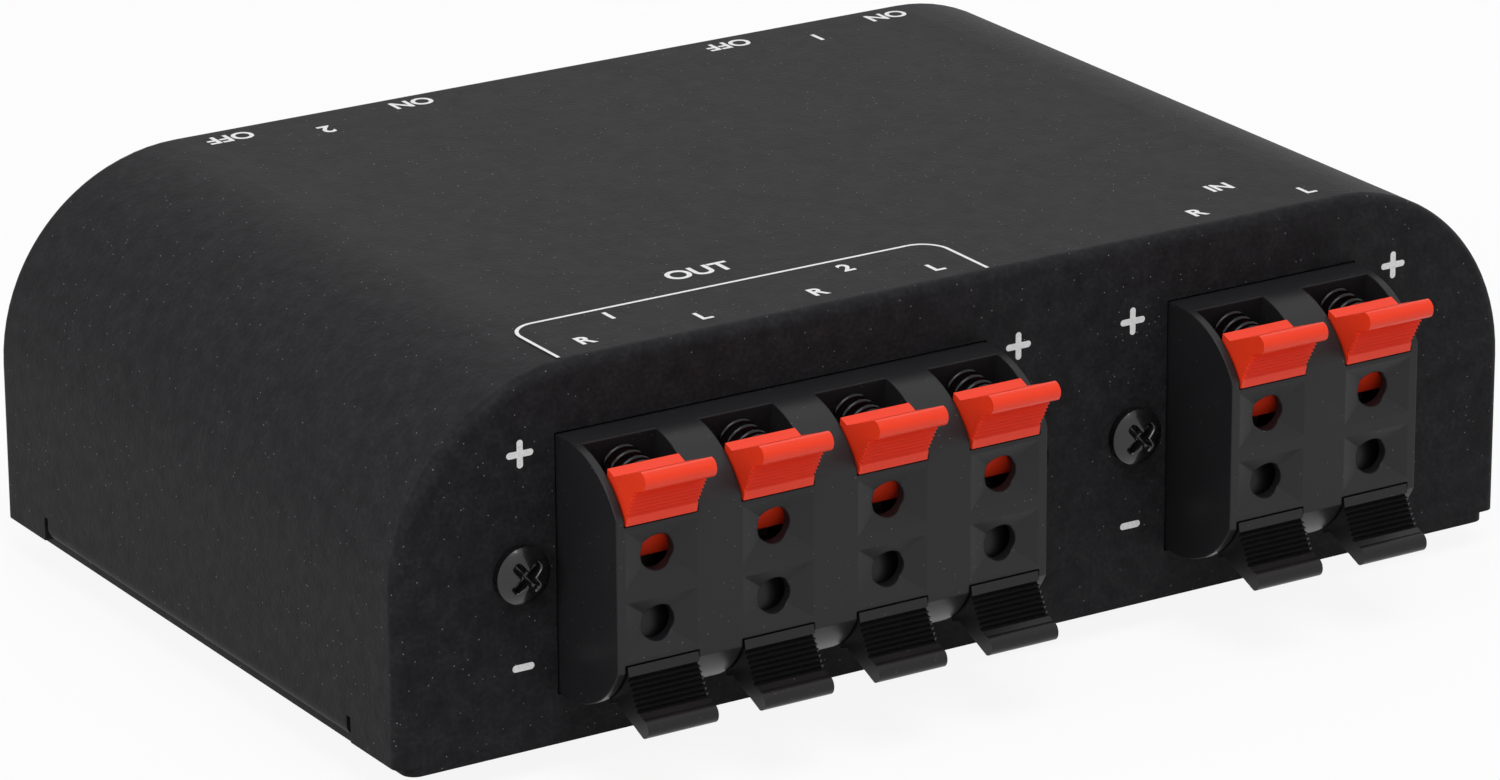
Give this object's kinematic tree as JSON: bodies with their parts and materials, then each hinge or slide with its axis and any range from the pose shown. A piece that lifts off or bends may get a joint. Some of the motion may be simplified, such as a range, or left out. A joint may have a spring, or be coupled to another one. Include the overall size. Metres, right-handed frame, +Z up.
{
  "type": "speaker selector switch",
  "caption": "Folded steel speaker selector box with red and black sprung wire terminals behind and two rocker switches in front.",
  "frame": {"origin": "on the ground under the middle of the whole object's box, levers and rockers included", "axes": "+Z up, +Y towards the terminals, -Y towards the rocker switches"},
  "size_m": [0.1356, 0.1052, 0.043],
  "materials": {
    "powder_coat": "satin, fine texture",
    "black_moulding": "satin",
    "red_lever_plastic": "gloss",
    "black_lever_plastic": "gloss",
    "rocker_plastic": "satin",
    "foot_rubber": "matte",
    "blackened_steel": "gloss",
    "zinc_steel": "satin",
    "spring_steel": "gloss",
    "tinned_brass": "satin",
    "switch_brass": "satin",
    "fibre_board": "matte",
    "wire_insulation": "satin"
  },
  "bodies": {
    "body": {"case_cover": "powder_coat", "base_plate": "powder_coat", "rubber_feet": "foot_rubber", "base_screws": "zinc_steel", "output_terminal_housing": "black_moulding", "output_back_board": "fibre_board", "output_contacts": "tinned_brass", "output_terminal_screws": "blackened_steel", "output_terminal_nuts": "zinc_steel", "output_1_positive_spring": "spring_steel", "output_1_negative_spring": "spring_steel", "output_2_positive_spring": "spring_steel", "output_2_negative_spring": "spring_steel", "output_3_positive_spring": "spring_steel", "output_3_negative_spring": "spring_steel", "output_4_positive_spring": "spring_steel", "output_4_negative_spring": "spring_steel", "input_terminal_housing": "black_moulding", "input_back_board": "fibre_board", "input_contacts": "tinned_brass", "input_terminal_screws": "blackened_steel", "input_terminal_nuts": "zinc_steel", "input_1_positive_spring": "spring_steel", "input_1_negative_spring": "spring_steel", "input_2_positive_spring": "spring_steel", "input_2_negative_spring": "spring_steel", "switch_1_housing": "black_moulding", "switch_1_tags": "switch_brass", "switch_2_housing": "black_moulding", "switch_2_tags": "switch_brass", "positive_wires": "wire_insulation", "negative_bus_wire": "tinned_brass"},
    "output_1_positive_lever_body": {"output_1_positive_lever": "red_lever_plastic"},
    "output_1_negative_lever_body": {"output_1_negative_lever": "black_lever_plastic"},
    "output_2_positive_lever_body": {"output_2_positive_lever": "red_lever_plastic"},
    "output_2_negative_lever_body": {"output_2_negative_lever": "black_lever_plastic"},
    "output_3_positive_lever_body": {"output_3_positive_lever": "red_lever_plastic"},
    "output_3_negative_lever_body": {"output_3_negative_lever": "black_lever_plastic"},
    "output_4_positive_lever_body": {"output_4_positive_lever": "red_lever_plastic"},
    "output_4_negative_lever_body": {"output_4_negative_lever": "black_lever_plastic"},
    "input_1_positive_lever_body": {"input_1_positive_lever": "red_lever_plastic"},
    "input_1_negative_lever_body": {"input_1_negative_lever": "black_lever_plastic"},
    "input_2_positive_lever_body": {"input_2_positive_lever": "red_lever_plastic"},
    "input_2_negative_lever_body": {"input_2_negative_lever": "black_lever_plastic"},
    "switch_1_rocker_body": {"switch_1_rocker": "rocker_plastic", "switch_1_plungers": "black_moulding"},
    "switch_1_bars_body": {"switch_1_contact_bars": "switch_brass"},
    "switch_2_rocker_body": {"switch_2_rocker": "rocker_plastic", "switch_2_plungers": "black_moulding"},
    "switch_2_bars_body": {"switch_2_contact_bars": "switch_brass"}
  },
  "joints": [
    {"name": "output_1_positive_press", "type": "hinge", "parent": "body", "child": "output_1_positive_lever_body", "pos_m": [0.04408, 0.04045, 0.028], "axis": [1, 0, 0], "range_deg": [0, 22], "stiffness_Nm_per_rad": 0.05, "springref_deg": -45.84, "deforming": ["output_1_positive_spring"]},
    {"name": "output_1_negative_press", "type": "hinge", "parent": "body", "child": "output_1_negative_lever_body", "pos_m": [0.04408, 0.04045, 0.016], "axis": [-1, 0, 0], "range_deg": [0, 22], "stiffness_Nm_per_rad": 0.05, "springref_deg": -45.84, "deforming": ["output_1_negative_spring"]},
    {"name": "output_2_positive_press", "type": "hinge", "parent": "body", "child": "output_2_positive_lever_body", "pos_m": [0.03062, 0.04045, 0.028], "axis": [1, 0, 0], "range_deg": [0, 22], "stiffness_Nm_per_rad": 0.05, "springref_deg": -45.84, "deforming": ["output_2_positive_spring"]},
    {"name": "output_2_negative_press", "type": "hinge", "parent": "body", "child": "output_2_negative_lever_body", "pos_m": [0.03062, 0.04045, 0.016], "axis": [-1, 0, 0], "range_deg": [0, 22], "stiffness_Nm_per_rad": 0.05, "springref_deg": -45.84, "deforming": ["output_2_negative_spring"]},
    {"name": "output_3_positive_press", "type": "hinge", "parent": "body", "child": "output_3_positive_lever_body", "pos_m": [0.01717, 0.04045, 0.028], "axis": [1, 0, 0], "range_deg": [0, 22], "stiffness_Nm_per_rad": 0.05, "springref_deg": -45.84, "deforming": ["output_3_positive_spring"]},
    {"name": "output_3_negative_press", "type": "hinge", "parent": "body", "child": "output_3_negative_lever_body", "pos_m": [0.01717, 0.04045, 0.016], "axis": [-1, 0, 0], "range_deg": [0, 22], "stiffness_Nm_per_rad": 0.05, "springref_deg": -45.84, "deforming": ["output_3_negative_spring"]},
    {"name": "output_4_positive_press", "type": "hinge", "parent": "body", "child": "output_4_positive_lever_body", "pos_m": [0.00373, 0.04045, 0.028], "axis": [1, 0, 0], "range_deg": [0, 22], "stiffness_Nm_per_rad": 0.05, "springref_deg": -45.84, "deforming": ["output_4_positive_spring"]},
    {"name": "output_4_negative_press", "type": "hinge", "parent": "body", "child": "output_4_negative_lever_body", "pos_m": [0.00373, 0.04045, 0.016], "axis": [-1, 0, 0], "range_deg": [0, 22], "stiffness_Nm_per_rad": 0.05, "springref_deg": -45.84, "deforming": ["output_4_negative_spring"]},
    {"name": "input_1_positive_press", "type": "hinge", "parent": "body", "child": "input_1_positive_lever_body", "pos_m": [-0.02937, 0.04045, 0.028], "axis": [1, 0, 0], "range_deg": [0, 22], "stiffness_Nm_per_rad": 0.05, "springref_deg": -45.84, "deforming": ["input_1_positive_spring"]},
    {"name": "input_1_negative_press", "type": "hinge", "parent": "body", "child": "input_1_negative_lever_body", "pos_m": [-0.02937, 0.04045, 0.016], "axis": [-1, 0, 0], "range_deg": [0, 22], "stiffness_Nm_per_rad": 0.05, "springref_deg": -45.84, "deforming": ["input_1_negative_spring"]},
    {"name": "input_2_positive_press", "type": "hinge", "parent": "body", "child": "input_2_positive_lever_body", "pos_m": [-0.04283, 0.04045, 0.028], "axis": [1, 0, 0], "range_deg": [0, 22], "stiffness_Nm_per_rad": 0.05, "springref_deg": -45.84, "deforming": ["input_2_positive_spring"]},
    {"name": "input_2_negative_press", "type": "hinge", "parent": "body", "child": "input_2_negative_lever_body", "pos_m": [-0.04283, 0.04045, 0.016], "axis": [-1, 0, 0], "range_deg": [0, 22], "stiffness_Nm_per_rad": 0.05, "springref_deg": -45.84, "deforming": ["input_2_negative_spring"]},
    {"name": "switch_1_rock", "type": "hinge", "parent": "body", "child": "switch_1_rocker_body", "pos_m": [-0.0312, -0.04745, 0.023], "axis": [0, 0, -1], "range_deg": [0, 20]},
    {"name": "switch_1_bars_rock", "type": "hinge", "parent": "body", "child": "switch_1_bars_body", "pos_m": [-0.0312, -0.03914, 0.023], "axis": [0, 0, 1], "range_deg": [0, 14]},
    {"name": "switch_2_rock", "type": "hinge", "parent": "body", "child": "switch_2_rocker_body", "pos_m": [0.0312, -0.04745, 0.023], "axis": [0, 0, -1], "range_deg": [0, 20]},
    {"name": "switch_2_bars_rock", "type": "hinge", "parent": "body", "child": "switch_2_bars_body", "pos_m": [0.0312, -0.03914, 0.023], "axis": [0, 0, 1], "range_deg": [0, 14]}
  ],
  "couplings": [
    {"joint": "switch_1_bars_rock", "follows": "switch_1_rock", "ratio": 0.7},
    {"joint": "switch_2_bars_rock", "follows": "switch_2_rock", "ratio": 0.7}
  ]
}
